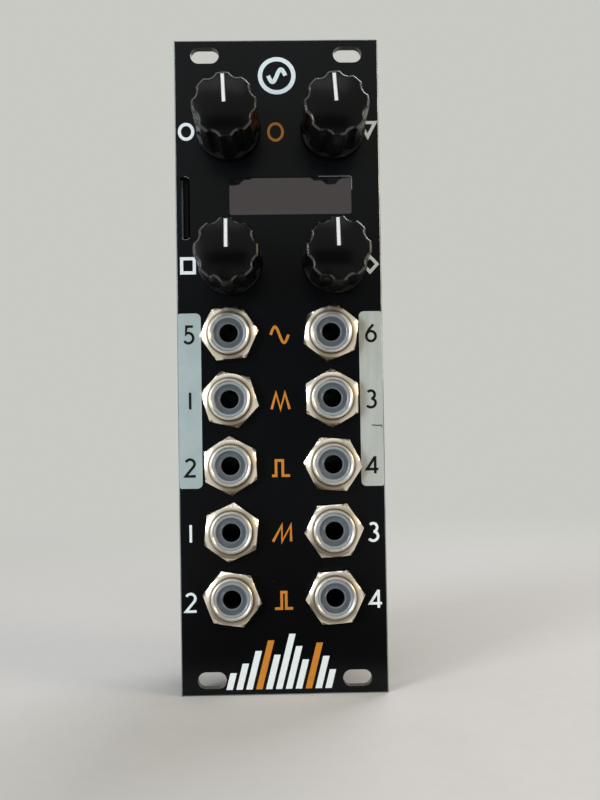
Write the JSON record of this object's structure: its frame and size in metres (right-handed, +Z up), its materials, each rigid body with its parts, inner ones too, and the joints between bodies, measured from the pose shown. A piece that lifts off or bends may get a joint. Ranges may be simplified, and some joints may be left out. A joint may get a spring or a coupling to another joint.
{
  "type": "eurorack module",
  "caption": "Tall narrow black synthesiser module with push knobs, a small display, a card slot and two columns of jacks in front of two circuit boards.",
  "frame": {"origin": "middle of the four rail slots, on the panel's rear face", "axes": "+X to the right seen from the front, +Y to the rear, square to the panel, +Z up along the panel"},
  "size_m": [0.0404, 0.0502, 0.1284],
  "materials": {
    "panel_black": "satin black lacquer over aluminium",
    "nickel": "bright nickel plate",
    "insert_grey": "translucent blue-grey nylon",
    "black_plastic": "moulded black plastic",
    "spring_bronze": "bare phosphor bronze",
    "knob_black": "polished black phenolic",
    "pointer_white": "white filled line",
    "steel": "plated steel",
    "aluminium": "bare aluminium",
    "brown_plastic": "moulded phenolic",
    "carbon_track": "carbon ink",
    "gold_pins": "gold flash over brass",
    "board_black": "black solder mask over glass fibre",
    "foam_black": "closed-cell foam",
    "display_glass": "unlit display behind a polariser",
    "display_blue": "black solder mask",
    "ribbon_amber": "polyimide film",
    "card_black": "moulded card body",
    "chip_black": "moulded epoxy",
    "tinned": "tin plate",
    "ceramic_tan": "fired ceramic"
  },
  "bodies": {
    "chassis": {"front_panel": "panel_black", "jack_nuts": "nickel", "jack_bushings": "nickel", "jack_inserts": "insert_grey", "jack_housings": "black_plastic", "jack_sleeve_springs": "spring_bronze", "jack_tip_springs": "spring_bronze", "jack_switch_contacts": "spring_bronze", "control_bushes": "aluminium", "control_frames": "steel", "control_bases": "brown_plastic", "control_pins": "tinned", "pot_tracks": "carbon_track", "switch_domes": "steel", "main_board": "board_black", "rear_board": "board_black", "board_sockets": "black_plastic", "board_pins": "gold_pins", "header_strips": "black_plastic", "standoffs": "nickel", "standoff_screws": "steel", "display_foam": "foam_black", "display_glass": "display_glass", "display_board": "display_blue", "display_ribbon": "ribbon_amber", "card_socket_base": "black_plastic", "card_socket_shell": "steel", "card_board": "board_black", "card_pins": "gold_pins", "card_pin_strip": "black_plastic", "power_header": "black_plastic", "rear_pins": "gold_pins", "processor": "chip_black", "amplifiers": "chip_black", "converter": "chip_black", "memory_chip": "chip_black", "chip_leads": "tinned", "regulators": "chip_black", "capacitor_cans": "aluminium", "capacitor_bases": "black_plastic", "crystal": "steel", "chip_resistors": "chip_black", "chip_capacitors": "ceramic_tan"},
    "card": {"memory_card": "card_black"},
    "upper_left_rotor": {"rotor_upper_left": "black_plastic"},
    "upper_left_knob": {"knob_upper_left": "knob_black", "pointer_upper_left": "pointer_white", "shaft_upper_left": "aluminium"},
    "upper_right_rotor": {"rotor_upper_right": "black_plastic"},
    "upper_right_knob": {"knob_upper_right": "knob_black", "pointer_upper_right": "pointer_white", "shaft_upper_right": "aluminium"},
    "lower_left_rotor": {"rotor_lower_left": "black_plastic"},
    "lower_left_knob": {"knob_lower_left": "knob_black", "pointer_lower_left": "pointer_white", "shaft_lower_left": "aluminium"},
    "lower_right_rotor": {"rotor_lower_right": "black_plastic"},
    "lower_right_knob": {"knob_lower_right": "knob_black", "pointer_lower_right": "pointer_white", "shaft_lower_right": "aluminium"}
  },
  "joints": [
    {"name": "upper_left_turn", "type": "hinge", "parent": "chassis", "child": "upper_left_rotor", "pos_m": [-0.00955, 0, 0.04645], "axis": [0, 1, 0], "continuous": true},
    {"name": "upper_left_push", "type": "slide", "parent": "upper_left_rotor", "child": "upper_left_knob", "axis": [0, 1, 0], "range_m": [0, 0.0005], "stiffness_N_per_m": 6000, "springref_m": -0.0002},
    {"name": "upper_right_turn", "type": "hinge", "parent": "chassis", "child": "upper_right_rotor", "pos_m": [0.01095, 0, 0.04645], "axis": [0, 1, 0], "continuous": true},
    {"name": "upper_right_push", "type": "slide", "parent": "upper_right_rotor", "child": "upper_right_knob", "axis": [0, 1, 0], "range_m": [0, 0.0005], "stiffness_N_per_m": 6000, "springref_m": -0.0002},
    {"name": "lower_left_turn", "type": "hinge", "parent": "chassis", "child": "lower_left_rotor", "pos_m": [-0.00955, 0, 0.02], "axis": [0, 1, 0], "range_deg": [-150.4, 149.6]},
    {"name": "lower_left_push", "type": "slide", "parent": "lower_left_rotor", "child": "lower_left_knob", "axis": [0, 1, 0], "range_m": [0, 0.0005], "stiffness_N_per_m": 6000, "springref_m": -0.0002},
    {"name": "lower_right_turn", "type": "hinge", "parent": "chassis", "child": "lower_right_rotor", "pos_m": [0.01095, 0, 0.02], "axis": [0, 1, 0], "range_deg": [-148.7, 151.3]},
    {"name": "lower_right_push", "type": "slide", "parent": "lower_right_rotor", "child": "lower_right_knob", "axis": [0, 1, 0], "range_m": [0, 0.0005], "stiffness_N_per_m": 6000, "springref_m": -0.0002},
    {"name": "card_slide", "type": "slide", "parent": "chassis", "child": "card", "axis": [0, -1, 0], "range_m": [-0.0006, 0.017]}
  ]
}
